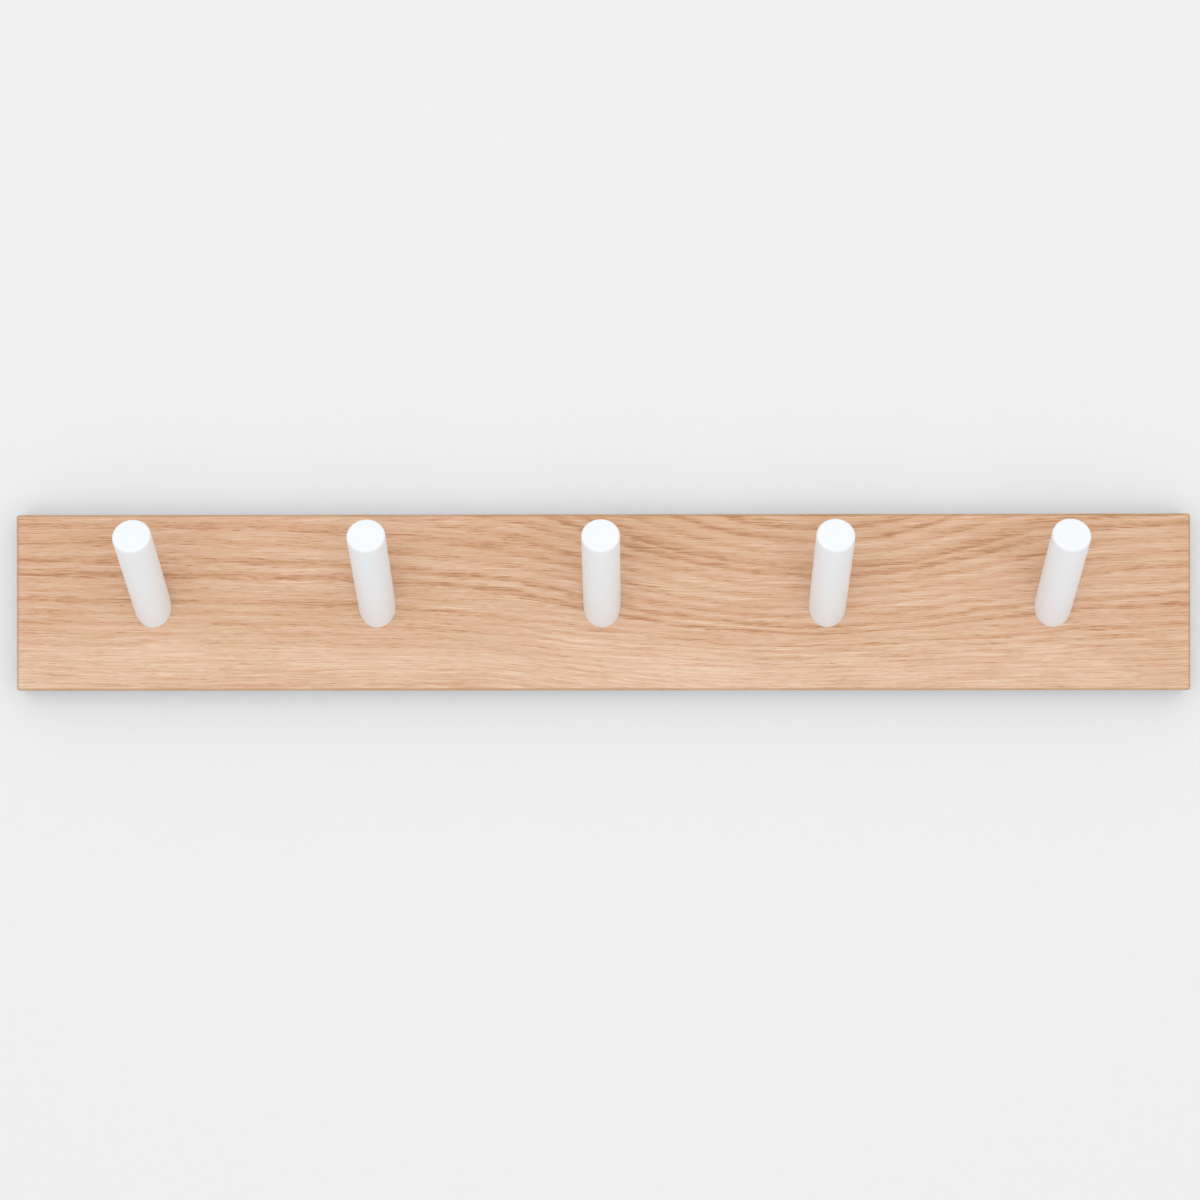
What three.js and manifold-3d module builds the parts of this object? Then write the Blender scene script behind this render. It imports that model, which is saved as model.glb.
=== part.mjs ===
// A wall hook rack: an oak board with a row of round pegs that lean upwards.
// Each peg stands in a blind socket and is pulled home by a wood screw from behind.
// Two keyhole plates, let into the board's back, hang the rack on two screws in a wall.
//
// Millimetres. +X is to the right as the rack is seen on its wall, +Y goes into the wall
// and +Z is up. The origin is the middle of the board's back face.
import * as THREE from "three";
import { mergeVertices } from "three/addons/utils/BufferGeometryUtils.js";
import Module from "manifold-3d";

// Driving dimensions: the board.
const boardLength = 600;
const boardHeight = 90;
const boardThickness = 18;
const boardCornerRadius = 1.3;
const boardEdgeRadius = 1; // sanded round-over on every arris

// The pegs. A peg's axis leaves the board's front face pegRowDrop below mid height.
const pegCount = 5;
const pegPitch = 115;
const pegDiameter = 19;
const pegProjection = 70; // along the axis, from the front face to the peg's end
const pegLean = THREE.MathUtils.degToRad(30); // above the board's normal
const pegRowDrop = 1.8;
const pegEndRadius = 1.6;
const pegFootChamfer = 0.8;
const socketBackWall = 2.6; // least wood left between a socket and the back face
const socketClearance = 0.3; // glue line round the peg and under its foot

// The screws that hold the pegs, and the ones that hold the keyhole plates.
const pegScrew = { headRadius: 4, rim: 0.4, shankRadius: 2, length: 35, pointLength: 5 };
const plateScrew = { headRadius: 2.9, rim: 0.2, shankRadius: 1.5, length: 12, pointLength: 3 };
const screwClearance = 0.3;
const headSink = 0.4; // how far every screw head lies under the face above it
const recess = { width: 0.8, span: 0.58, depth: 0.45 }; // cross recess: mm, then shares of the head's size

// The keyhole plates. A wall screw's head goes in at the round hole, and as the rack
// drops, the screw's shank runs up the slot.
const plateInset = 30; // plate's middle from the outermost peg's, towards the middle of the board
const plateRise = 8; // middle of a plate above the board's mid height
const plateLength = 50;
const plateWidth = 16;
const plateThickness = 1.6;
const plateSink = 0.2; // plate's face under the board's back face
const plateClearance = 0.3; // round the plate in its recess
const plateSeatGap = 0.3; // between the plate and the recess floor
const plateScrewInset = 6; // screw centre from the plate's end
const keyholeRadius = 4.75;
const slotWidth = 4.8;
const slotTravel = 11; // from the round hole's centre to where the shank stops
const keyholeDrop = 5; // round hole's centre below the plate's middle
const headPocketWidth = 12;
const headPocketDepth = 8;

const roundSegments = 40;
const screwSegments = 20;
const arcSegments = 10; // in each curved stretch of an extruded outline
const filletSegments = 5;

// Sizes that follow from these.
const pegRadius = pegDiameter / 2;
const backAlongAxis = -boardThickness / Math.cos(pegLean); // where a peg's axis meets the back face
const socketDepth =
  (boardThickness - socketBackWall - (pegRadius + socketClearance) * Math.sin(pegLean)) / Math.cos(pegLean);
const pegFoot = socketClearance - socketDepth;
// The leaning head is sunk until its high edge is under the back face as well.
const pegScrewHead = backAlongAxis + headSink + (pegScrew.headRadius + screwClearance) * Math.tan(pegLean);
const pegScrewPoint = pegScrewHead + pegScrew.length;
const outerPeg = ((pegCount - 1) / 2) * pegPitch;
const plateAcross = outerPeg - plateInset; // each plate's middle from the middle of the board
const plateFloor = plateSink + plateThickness + plateSeatGap;
const plateArcCentre = plateLength / 2 - plateWidth / 2; // of the plate's round ends, from its middle
const plateScrewRise = plateLength / 2 - plateScrewInset;

const wasm = await Module();
wasm.setup();

// manifold-3d solids, for the cuts.
function solidFrom(geometry) {
  const bare = geometry.index ? geometry.toNonIndexed() : geometry.clone();
  bare.deleteAttribute("normal");
  bare.deleteAttribute("uv");
  const merged = mergeVertices(bare, 1e-4);
  return new wasm.Manifold(
    new wasm.Mesh({
      numProp: 3,
      vertProperties: merged.getAttribute("position").array,
      triVerts: new Uint32Array(merged.index.array),
    }),
  );
}

function geometryFrom(solid) {
  const mesh = solid.getMesh();
  const geometry = new THREE.BufferGeometry();
  geometry.setAttribute("position", new THREE.BufferAttribute(mesh.vertProperties, 3));
  geometry.setIndex(new THREE.BufferAttribute(mesh.triVerts, 1));
  geometry.computeVertexNormals();
  return geometry;
}

function cut(geometry, cutters) {
  const whole = solidFrom(geometry);
  return geometryFrom(cutters.reduce((left, cutter) => left.subtract(solidFrom(cutter)), whole));
}

// Outlines and the shapes made from them.
function turned(outline, segments) {
  return new THREE.LatheGeometry(
    outline.map(([radius, along]) => new THREE.Vector2(radius, along)),
    segments,
  );
}

function roundedRectangle(width, height, radius) {
  const x = width / 2 - radius;
  const y = height / 2 - radius;
  const shape = new THREE.Shape();
  shape.absarc(x, y, radius, 0, Math.PI / 2);
  shape.absarc(-x, y, radius, Math.PI / 2, Math.PI);
  shape.absarc(-x, -y, radius, Math.PI, 1.5 * Math.PI);
  shape.absarc(x, -y, radius, 1.5 * Math.PI, 2 * Math.PI);
  return shape;
}

// An upright slot outline whose end arcs are centred at low and high.
function slotOutline(radius, low, high) {
  const shape = new THREE.Shape();
  shape.absarc(0, high, radius, 0, Math.PI);
  shape.absarc(0, low, radius, Math.PI, 2 * Math.PI);
  return shape;
}

function keyholeOutline() {
  const half = slotWidth / 2;
  const mouth = Math.asin(half / keyholeRadius);
  const path = new THREE.Path();
  path.absarc(0, -keyholeDrop, keyholeRadius, Math.PI / 2 + mouth, 2.5 * Math.PI - mouth);
  path.absarc(0, slotTravel - keyholeDrop, half, 0, Math.PI);
  return path;
}

function extruded(shape, depth, startDepth = 0) {
  const settings = { depth, bevelEnabled: false, curveSegments: arcSegments };
  return new THREE.ExtrudeGeometry(shape, settings).translate(0, 0, startDepth);
}

// Half outline of a countersunk screw, from its head's face at 0 to its point. With a clearance
// it is the hole for that screw, which stays open for `opening` above the head.
function screwOutline({ headRadius, rim, shankRadius, length, pointLength }, clearance = 0, opening = 0) {
  const head = headRadius + clearance;
  const shank = shankRadius + clearance;
  const neck = rim + headRadius - shankRadius;
  const end = clearance ? [[shank, length + clearance]] : [[shank, length - pointLength]];
  return [[0, -opening], [head, -opening], [head, rim], [shank, neck], ...end, [0, length + clearance]];
}

function screwGeometry(screw) {
  const span = 2 * screw.headRadius * recess.span;
  const depth = screw.headRadius * recess.depth;
  const bar = () => new THREE.BoxGeometry(span, 2 * depth, recess.width);
  return cut(turned(screwOutline(screw), screwSegments), [bar(), bar().rotateY(Math.PI / 2)]);
}

function pegGeometry() {
  const bore = pegScrew.shankRadius + screwClearance;
  const boreEnd = pegScrewPoint + screwClearance;
  const outline = [
    [0, boreEnd],
    [bore, boreEnd],
    [bore, pegFoot],
    [pegRadius - pegFootChamfer, pegFoot],
    [pegRadius, pegFoot + pegFootChamfer],
  ];
  for (let step = 0; step <= filletSegments; step += 1) {
    const turn = ((step / filletSegments) * Math.PI) / 2;
    outline.push([
      pegRadius - pegEndRadius * (1 - Math.cos(turn)),
      pegProjection - pegEndRadius * (1 - Math.sin(turn)),
    ]);
  }
  outline.push([0, pegProjection]);
  return turned(outline, roundSegments);
}

function plateGeometry() {
  const outline = slotOutline(plateWidth / 2, -plateArcCentre, plateArcCentre);
  outline.holes.push(keyholeOutline());
  const holes = [-plateScrewRise, plateScrewRise].map((rise) =>
    turned(screwOutline(plateScrew, screwClearance, plateThickness), screwSegments)
      .rotateX(Math.PI / 2)
      .translate(0, rise, headSink),
  );
  return cut(extruded(outline, plateThickness), holes);
}

// Where things sit. A peg's frame has its +Y along the peg, from the front face outwards.
// A plate's frame has its own +Z into the board and its +Y up.
function pegFrame(index) {
  const frame = new THREE.Group();
  frame.position.set(index * pegPitch - outerPeg, -boardThickness, -pegRowDrop);
  frame.rotation.x = Math.PI - pegLean;
  frame.updateMatrix();
  return frame;
}

function plateFrame(side) {
  const frame = new THREE.Group();
  frame.position.set(side * plateAcross, 0, plateRise);
  frame.rotation.x = Math.PI / 2;
  frame.updateMatrix();
  return frame;
}

function boardGeometry(pegFrames, plateFrames) {
  const blank = new THREE.ExtrudeGeometry(roundedRectangle(boardLength, boardHeight, boardCornerRadius), {
    depth: boardThickness - 2 * boardEdgeRadius,
    bevelThickness: boardEdgeRadius,
    bevelSize: boardEdgeRadius,
    bevelOffset: -boardEdgeRadius,
    bevelSegments: filletSegments,
    curveSegments: filletSegments,
  });
  blank.translate(0, 0, boardEdgeRadius).rotateX(Math.PI / 2);
  const cutters = [];
  for (const frame of pegFrames) {
    const radius = pegRadius + socketClearance;
    const socket = [[0, -socketDepth], [radius, -socketDepth], [radius, pegProjection], [0, pegProjection]];
    cutters.push(turned(socket, roundSegments).applyMatrix4(frame.matrix));
    const screwHole = turned(screwOutline(pegScrew, screwClearance, boardThickness), screwSegments);
    cutters.push(screwHole.translate(0, pegScrewHead, 0).applyMatrix4(frame.matrix));
  }
  for (const frame of plateFrames) {
    const radius = plateWidth / 2 + plateClearance;
    const plateRecess = extruded(slotOutline(radius, -plateArcCentre, plateArcCentre), plateFloor + 1, -1);
    cutters.push(plateRecess.applyMatrix4(frame.matrix));
    const headPocket = slotOutline(headPocketWidth / 2, -keyholeDrop, slotTravel - keyholeDrop);
    cutters.push(extruded(headPocket, plateFloor + headPocketDepth).applyMatrix4(frame.matrix));
    for (const rise of [-plateScrewRise, plateScrewRise]) {
      const screwHole = turned(screwOutline(plateScrew, screwClearance, plateThickness), screwSegments);
      screwHole.rotateX(Math.PI / 2).translate(0, rise, plateSink + headSink);
      cutters.push(screwHole.applyMatrix4(frame.matrix));
    }
  }
  return cut(blank, cutters);
}

function finish(name, color, roughness, metalness) {
  return new THREE.MeshStandardMaterial({ name, color, roughness, metalness });
}

const oak = finish("oiled_oak", 0xdeb89a, 0.6, 0);
const paint = finish("satin_white_paint", 0xf4f4f3, 0.45, 0);
const zinc = finish("zinc_plated_steel", 0xb8bcc0, 0.35, 1);

function part(name, geometry, material) {
  const mesh = new THREE.Mesh(geometry, material);
  mesh.name = name;
  return mesh;
}

const rack = new THREE.Group();
const pegFrames = Array.from({ length: pegCount }, (_, index) => pegFrame(index));
const plateFrames = [-1, 1].map(plateFrame);

rack.add(part("board", boardGeometry(pegFrames, plateFrames), oak));

pegFrames.forEach((frame, index) => {
  const screw = part(`peg_screw_${index + 1}`, screwGeometry(pegScrew), zinc);
  screw.position.y = pegScrewHead;
  frame.add(part(`peg_${index + 1}`, pegGeometry(), paint), screw);
  rack.add(frame);
});

plateFrames.forEach((frame, index) => {
  const side = ["left", "right"][index];
  const plate = part(`keyhole_plate_${side}`, plateGeometry(), zinc);
  plate.position.z = plateSink;
  frame.add(plate);
  [["lower", -1], ["upper", 1]].forEach(([place, sign]) => {
    const screw = part(`plate_screw_${side}_${place}`, screwGeometry(plateScrew).rotateX(Math.PI / 2), zinc);
    screw.position.set(0, sign * plateScrewRise, plateSink + headSink);
    frame.add(screw);
  });
  rack.add(frame);
});

export default rack;
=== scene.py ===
import math

import bmesh
import bpy
from mathutils import Euler, Matrix, Vector


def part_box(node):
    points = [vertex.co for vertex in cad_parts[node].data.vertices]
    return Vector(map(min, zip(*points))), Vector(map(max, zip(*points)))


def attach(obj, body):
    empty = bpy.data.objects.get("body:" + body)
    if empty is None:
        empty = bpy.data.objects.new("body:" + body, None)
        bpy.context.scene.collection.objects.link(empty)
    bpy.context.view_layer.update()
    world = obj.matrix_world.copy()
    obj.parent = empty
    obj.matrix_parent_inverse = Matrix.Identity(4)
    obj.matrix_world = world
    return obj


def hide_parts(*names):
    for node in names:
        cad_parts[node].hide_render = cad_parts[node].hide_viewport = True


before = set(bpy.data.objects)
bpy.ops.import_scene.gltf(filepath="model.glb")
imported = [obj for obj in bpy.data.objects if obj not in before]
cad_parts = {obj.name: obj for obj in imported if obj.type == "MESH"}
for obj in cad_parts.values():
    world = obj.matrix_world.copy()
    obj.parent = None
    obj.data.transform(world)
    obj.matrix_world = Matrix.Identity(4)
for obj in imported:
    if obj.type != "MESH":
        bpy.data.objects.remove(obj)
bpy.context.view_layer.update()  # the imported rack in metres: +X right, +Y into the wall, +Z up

mm = 0.001
print("frame loaded:", len(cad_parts), "CAD nodes")


def addNode(tree, kind, feeds=None, **settings):
    # one node with its settings; a feed is a node, one of its outputs, a list of them, or a plain value
    node = tree.nodes.new(kind)
    for name, value in settings.items():
        setattr(node, name, value)
    for socket, feed in (feeds or {}).items():
        for source in feed if isinstance(feed, list) else [feed]:
            if isinstance(source, bpy.types.Node):
                source = source.outputs[0]
            if isinstance(source, bpy.types.NodeSocket):
                tree.links.new(source, node.inputs[socket])
            else:
                node.inputs[socket].default_value = source
    return node


def srgb(hexColour):
    # sRGB hex to the linear colour that shader sockets take
    channels = [int(hexColour[i:i + 2], 16) / 255 for i in (1, 3, 5)]
    linear = [c / 12.92 if c <= 0.04045 else ((c + 0.055) / 1.055) ** 2.4 for c in channels]
    return (*linear, 1.0)


def newMaterial(name):
    material = bpy.data.materials.new(name)
    material.use_nodes = True
    material.node_tree.nodes.clear()
    return material, material.node_tree


def linkObject(name, mesh):
    made = bpy.data.objects.new(name, mesh)
    bpy.context.scene.collection.objects.link(made)
    return made


def plainMesh(made):
    # swaps a piece's modifiers for the mesh that they give
    bpy.context.view_layer.update()
    evaluated = made.evaluated_get(bpy.context.evaluated_depsgraph_get())
    mesh = bpy.data.meshes.new_from_object(evaluated)
    made.modifiers.clear()
    made.data = mesh
    mesh.name = made.name


def shadeByAngle(made, degrees=32):
    for face in made.data.polygons:
        face.use_smooth = True
    made.data.set_sharp_from_angle(angle=math.radians(degrees))


def standFor(made, nodes):
    # declares a finished piece, and says whether it is closed, faces outwards and fits its CAD nodes
    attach(made, "root")
    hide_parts(*nodes)
    check = bmesh.new()
    check.from_mesh(made.data)
    loose = sum(1 for edge in check.edges if len(edge.link_faces) != 2)
    volume = check.calc_volume(signed=True) / mm ** 3 / 1000
    corners = [vertex.co.copy() for vertex in check.verts]
    triangles = sum(len(face.verts) - 2 for face in check.faces)
    check.free()
    boxes = [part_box(node) for node in nodes]
    past = max(max(min(low[i] for low, high in boxes) - min(c[i] for c in corners),
                   max(c[i] for c in corners) - max(high[i] for low, high in boxes)) for i in range(3))
    print(f"{made.name}: {triangles} triangles, {loose} open edges, {volume:.2f} cm3,",
          f"{past / mm:.3f} mm past its CAD nodes")


view = {
    "distance": 1390 * mm,  # from the board's front face
    "aside": 15.7 * mm,
    "above": 1.2 * mm,
    "yaw": 0.69,  # degrees, to the left
    "roll": 0.06,
    "lens": 81.6,
    "sensor": 36,
    "nearest": 50 * mm,
}


def makeCamera():
    data = bpy.data.cameras.new("studio_camera")
    data.sensor_width = view["sensor"]
    data.lens = view["lens"]
    data.clip_start = view["nearest"]
    camera = bpy.data.objects.new("studio_camera", data)
    turn = Euler((0, math.radians(view["roll"]), 0)).to_matrix()
    turn = Euler((0, 0, math.radians(view["yaw"]))).to_matrix() @ turn
    turn = turn @ Euler((math.radians(90), 0, 0)).to_matrix()
    place = Vector((view["aside"], cadBoard[0].y - view["distance"], view["above"]))
    camera.matrix_world = Matrix.Translation(place) @ turn.to_4x4()
    bpy.context.scene.collection.objects.link(camera)
    bpy.context.scene.camera = camera


stage = {
    "wallColour": "#e7e6e5",
    "wallReach": 3.0,
    "floorDrop": 2.4,
    "skyColour": "#fbfdff",
    "skyStrength": 0.92,
    "cardColour": "#b4b3b8",
    "cardGap": 0.2 * mm,  # off the board's edges
    "cardShort": 1.5 * mm,  # ends this far behind the board's front
    "panelSize": 2.6,
    "panelPower": 16.2,
    "panelPlace": (0, -2.2, 0.05),
}
fourSides = [(i, (i + 1) % 4, (i + 1) % 4 + 4, i + 4) for i in range(4)]  # join four points to the next four


def oneSided(name, colour):
    # a matt surface that shows on its front only, so that it hides nothing of the rack from behind
    material, tree = newMaterial(name)
    paint = addNode(tree, "ShaderNodeBsdfDiffuse", {"Color": srgb(colour)})
    clear = addNode(tree, "ShaderNodeBsdfTransparent")
    side = addNode(tree, "ShaderNodeNewGeometry")
    mixed = addNode(tree, "ShaderNodeMixShader", {0: side.outputs["Backfacing"], 1: paint, 2: clear})
    addNode(tree, "ShaderNodeOutputMaterial", {"Surface": mixed})
    return material


def stageSurface(name, points, faces, finish):
    mesh = bpy.data.meshes.new(name)
    mesh.from_pydata(points, [], faces)
    mesh.materials.append(finish)
    made = linkObject(name, mesh)
    return made


def wallAndFloor():
    # the wall is a flat ring round the board's outline; the floor at its foot only dims the light from below
    emulsion = oneSided("matt_white_emulsion", stage["wallColour"])
    reach, drop = stage["wallReach"], stage["floorDrop"]
    x, z = cadBoard[1].x, cadBoard[1].z
    outer = [(-reach, 0, -drop), (reach, 0, -drop), (reach, 0, reach), (-reach, 0, reach)]
    inner = [(-x, 0, -z), (x, 0, -z), (x, 0, z), (-x, 0, z)]
    stageSurface("studio_wall", outer + inner, fourSides, emulsion)
    floor = [(-reach, -reach, -drop), (reach, -reach, -drop), (reach, 0, -drop), (-reach, 0, -drop)]
    made = stageSurface("studio_floor", floor, [(0, 1, 2, 3)], emulsion)
    made.visible_camera = False


def edgeCard():
    # a neutral card just off the board's edges keeps the oak's warm glow off the wall; only light sees it
    x, z = (cadBoard[1][i] + stage["cardGap"] for i in (0, 2))
    front = cadBoard[0].y + stage["cardShort"]
    points = [(sx * x, y, sz * z) for y in (0, front) for sx, sz in ((-1, -1), (1, -1), (1, 1), (-1, 1))]
    made = stageSurface("edge_card", points, fourSides, oneSided("grey_card", stage["cardColour"]))
    made.visible_camera = False
    made.visible_glossy = False


def softLight():
    # a large panel round the camera, so that what faces the front is the brightest, in an even pale tent
    panel = bpy.data.lights.new("front_panel", "AREA")
    panel.size = stage["panelSize"]
    panel.energy = stage["panelPower"]
    light = bpy.data.objects.new("front_panel", panel)
    light.matrix_world = Matrix.Translation(stage["panelPlace"]) @ Matrix.Rotation(math.pi / 2, 4, "X")
    bpy.context.scene.collection.objects.link(light)

    world = bpy.data.worlds.new("soft_tent")
    bpy.context.scene.world = world
    world.use_nodes = True
    sky = world.node_tree.nodes["Background"]
    sky.inputs["Color"].default_value = srgb(stage["skyColour"])
    sky.inputs["Strength"].default_value = stage["skyStrength"]
    bpy.context.scene.view_settings.view_transform = "Standard"


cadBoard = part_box("board")
makeCamera()
wallAndFloor()
edgeCard()
softLight()
print("camera, wall and light set")


oak = {
    # tone runs from 0, the palest wood, to 1, the inside of a pore
    "light": "#ebceb4", "mid": "#d6ae90", "midTone": 0.46, "dark": "#c6946d", "darkTone": 0.8,
    "pore": "#a66e43",
    "rosy": "#dba98b", "straw": "#d5b58b", "hueShare": 0.18,
    "strawFrom": (0.35, 0.65),  # the stretch of the blushes over which rosy turns to straw
    "plainTone": 0.47, "paleTone": 0.31, "paleBelow": (-28.0, -8.0),  # mm above mid height
    "bandTone": 0.39, "deepPoreTone": 0.28, "finePoreTone": 0.25,  # what each adds to the tone
    "fleckTone": -0.25, "streakTone": 1.3, "cloudTone": 0.7,
    "roughness": 0.5, "poreRoughness": 0.15, "relief": 0.3, "poreDepth": 0.05 * mm,

    # the bow in the rings, in mm: where it is lowest, and how far and how wide it rises each side
    "bowCentre": 116.0,
    "leftRise": 56.0, "leftWidth": 160.0, "leftPower": 2.3,
    "rightRise": 30.0, "rightWidth": 105.0, "rightPower": 2.0,
    "riseShift": 0.83, "riseSpread": 0.018,  # how far the rings go up with it, and how far apart
    "fibreSlope": 0.22,  # how much of the bow the fibres follow
    "depthTilt": 0.9,  # mm that the rings climb for each mm into the board

    # the rings
    "ringWidth": 4.8, "ringGrowth": 0.07,  # mm wide at mid height, and mm wider for each mm up
    "ringLeast": 0.6,  # mm
    "firstRing": 0.55,  # where in a ring the count starts
    "bandOnset": 0.14, "bandFade": (0.3, 0.76),  # shares of a ring's width
    "faintBand": 0.3,  # of the darkest band
    "calmShare": 0.5, "calmBelow": (-34.0, -14.0),  # bands are faint near the lower edge
    "boldRings": (-12.0, 16.0, 31.0),  # mm above mid height at the lowest place of the bow
    "boldEdge": 1.5, "boldCore": 0.3, "boldBand": 0.85,

    # patterns: mm along, into and up the board, how strong, and a seed
    "wanders": (((120, 60, 36), 8.0, 3.1), ((42, 24, 10), 2.6, 8.2)),  # mm that a ring strays
    "ragged": ((12, 2, 0.7), 3.2, 1.3),  # mm that vessel ends move it
    "pores": (((14, 2.4, 1.0), 0.42, 5.7), ((8, 1.6, 0.7), 0.4, 21.4)),  # reach of a pore, in its own size
    "poreCore": 0.12, "poresOffBand": 0.5,
    "streaks": ((34, 1.2, 0.5), 2.9),
    "flecks": ((14, 2.0, 0.8), 12.4), "fleckFrom": (0.56, 0.74),
    "clouds": ((150, 40, 20), 4.4),
    "blushes": ((40, 8, 3.5), 17.7),

    # arrises are sanded round; the thin dark line along them is painted shade, partly also the oil they
    # drink, and the end grain drinks a little more oil as well
    "oilAndShade": "#ad8555", "arrisShadeShare": 0.55, "endGrainShare": 0.3,
    "arrisStart": 1.5, "arrisFull": 0.8,  # mm in from the outline
}


def bowedRings(tree, place):
    # a point's height with the rings' wandering in it, how far across the rings it lies, measured
    # where the bow is lowest, and its place along the fibres, all in mm
    x, y, z = addNode(tree, "ShaderNodeSeparateXYZ", {0: place}).outputs

    # the bow: how far the rings have risen on each side of its lowest place
    offset = addNode(tree, "ShaderNodeMath", {0: x, 1: oak["bowCentre"]}, operation="SUBTRACT")
    rises = []
    for side, sign in (("left", -1.0), ("right", 1.0)):
        slope, rise = sign / oak[side + "Width"], oak[side + "Rise"]
        away = addNode(tree, "ShaderNodeMath", {0: offset, 1: slope}, operation="MULTIPLY")
        away = addNode(tree, "ShaderNodeMath", {0: away, 1: 0.0}, operation="MAXIMUM")
        away = addNode(tree, "ShaderNodeMath", {0: away, 1: oak[side + "Power"]}, operation="POWER")
        away = addNode(tree, "ShaderNodeMath", {0: away, 1: -1.0}, operation="MULTIPLY")
        away = addNode(tree, "ShaderNodeMath", {0: away}, operation="EXPONENT")
        rises.append(addNode(tree, "ShaderNodeMath", {0: away, 1: -rise, 2: rise}, operation="MULTIPLY_ADD"))
    lift = addNode(tree, "ShaderNodeMath", {0: rises[0], 1: rises[1]}, operation="ADD")

    # slow and quick wanderings
    height = z
    for size, reach, seed in oak["wanders"]:
        spread = addNode(tree, "ShaderNodeMapping", {0: place, "Location": (seed, seed, seed),
                                                     "Scale": tuple(1 / s for s in size)})
        wander = addNode(tree, "ShaderNodeTexNoise", {"Vector": spread, "Scale": 1.0, "Detail": 1.5})
        wander = addNode(tree, "ShaderNodeMath", {0: wander, 1: 0.5}, operation="SUBTRACT")
        height = addNode(tree, "ShaderNodeMath", {0: wander, 1: reach, 2: height}, operation="MULTIPLY_ADD")

    across = addNode(tree, "ShaderNodeMath", {0: lift, 1: -oak["riseShift"], 2: height},
                     operation="MULTIPLY_ADD")
    spread = addNode(tree, "ShaderNodeMath", {0: lift, 1: oak["riseSpread"], 2: 1.0},
                     operation="MULTIPLY_ADD")
    across = addNode(tree, "ShaderNodeMath", {0: across, 1: spread}, operation="DIVIDE")
    depth = addNode(tree, "ShaderNodeMath", {0: y, 1: cadBoard[0].y / mm}, operation="SUBTRACT")
    across = addNode(tree, "ShaderNodeMath", {0: depth, 1: oak["depthTilt"], 2: across},
                     operation="MULTIPLY_ADD")

    # fibres run along the board and follow the bow a little
    drop = addNode(tree, "ShaderNodeMath", {0: lift, 1: -oak["fibreSlope"], 2: height},
                   operation="MULTIPLY_ADD")
    fibre = addNode(tree, "ShaderNodeCombineXYZ", {0: x, 1: y, 2: drop})

    # vessel ends make every ring ragged: long thin steps along the fibres
    size, reach, seed = oak["ragged"]
    spread = addNode(tree, "ShaderNodeMapping", {0: fibre, "Location": (seed, 0, 0),
                                                 "Scale": tuple(1 / s for s in size)})
    ragged = addNode(tree, "ShaderNodeTexNoise", {"Vector": spread, "Scale": 1.0, "Detail": 2.0,
                                                  "Roughness": 0.6})
    ragged = addNode(tree, "ShaderNodeMath", {0: ragged, 1: 0.5}, operation="SUBTRACT")
    across = addNode(tree, "ShaderNodeMath", {0: ragged, 1: reach, 2: across}, operation="MULTIPLY_ADD")
    return height, across, fibre


def darkBands(tree, across):
    # the early wood of each ring sets in quickly and fades out, darker in some years than in others;
    # rings get wider with height, so they are counted on a log scale
    width = addNode(tree, "ShaderNodeMath", {0: across, 1: oak["ringGrowth"], 2: oak["ringWidth"]},
                    operation="MULTIPLY_ADD")
    width = addNode(tree, "ShaderNodeMath", {0: width, 1: oak["ringLeast"]}, operation="MAXIMUM")
    count = addNode(tree, "ShaderNodeMath", {0: width, 1: math.e}, operation="LOGARITHM")
    count = addNode(tree, "ShaderNodeMath", {0: count, 1: 1 / oak["ringGrowth"], 2: oak["firstRing"]},
                    operation="MULTIPLY_ADD")
    ring = addNode(tree, "ShaderNodeMath", {0: count}, operation="FLOOR")
    part = addNode(tree, "ShaderNodeMath", {0: count}, operation="FRACT")
    luck = addNode(tree, "ShaderNodeTexWhiteNoise", {"W": ring}, noise_dimensions="1D")
    strength = addNode(tree, "ShaderNodeMapRange", {0: luck, 3: oak["faintBand"], 4: 1.0})
    onset = addNode(tree, "ShaderNodeMapRange", {0: part, 1: 0.0, 2: oak["bandOnset"]},
                    interpolation_type="SMOOTHSTEP")
    start, end = oak["bandFade"]
    fading = addNode(tree, "ShaderNodeMapRange", {0: part, 1: start, 2: end, 3: 1.0, 4: 0.0},
                     interpolation_type="SMOOTHSTEP")
    low, high = oak["calmBelow"]
    calm = addNode(tree, "ShaderNodeMapRange", {0: across, 1: low, 2: high, 3: oak["calmShare"], 4: 1.0},
                   interpolation_type="SMOOTHSTEP")
    band = onset
    for share in (fading, strength, calm):
        band = addNode(tree, "ShaderNodeMath", {0: band, 1: share}, operation="MULTIPLY")
    for middle in oak["boldRings"]:
        off = addNode(tree, "ShaderNodeMath", {0: across, 1: middle}, operation="SUBTRACT")
        off = addNode(tree, "ShaderNodeMath", {0: off}, operation="ABSOLUTE")
        bold = addNode(tree, "ShaderNodeMapRange", {0: off, 1: oak["boldEdge"], 2: oak["boldCore"], 3: 0.0,
                                                    4: oak["boldBand"]}, interpolation_type="SMOOTHSTEP")
        band = addNode(tree, "ShaderNodeMath", {0: band, 1: bold}, operation="MAXIMUM")
    return band


def openPores(tree, fibre, band):
    # pores cut open along the grain: thin dark dashes, the deep ones thickest where a ring begins;
    # they are a little wider than real ones, so that they show
    pores = []
    for size, reach, seed in oak["pores"]:
        spread = addNode(tree, "ShaderNodeMapping", {0: fibre, "Location": (seed, seed, seed),
                                                     "Scale": tuple(1 / s for s in size)})
        cell = addNode(tree, "ShaderNodeTexVoronoi", {"Vector": spread, "Scale": 1.0}, feature="F1")
        pores.append(addNode(tree, "ShaderNodeMapRange", {0: cell, 1: reach, 2: oak["poreCore"]},
                             interpolation_type="SMOOTHSTEP"))
    deep, fine = pores
    inBand = addNode(tree, "ShaderNodeMapRange", {0: band, 3: oak["poresOffBand"], 4: 1.0})
    deep = addNode(tree, "ShaderNodeMath", {0: deep, 1: inBand}, operation="MULTIPLY")
    return deep, fine


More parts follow.
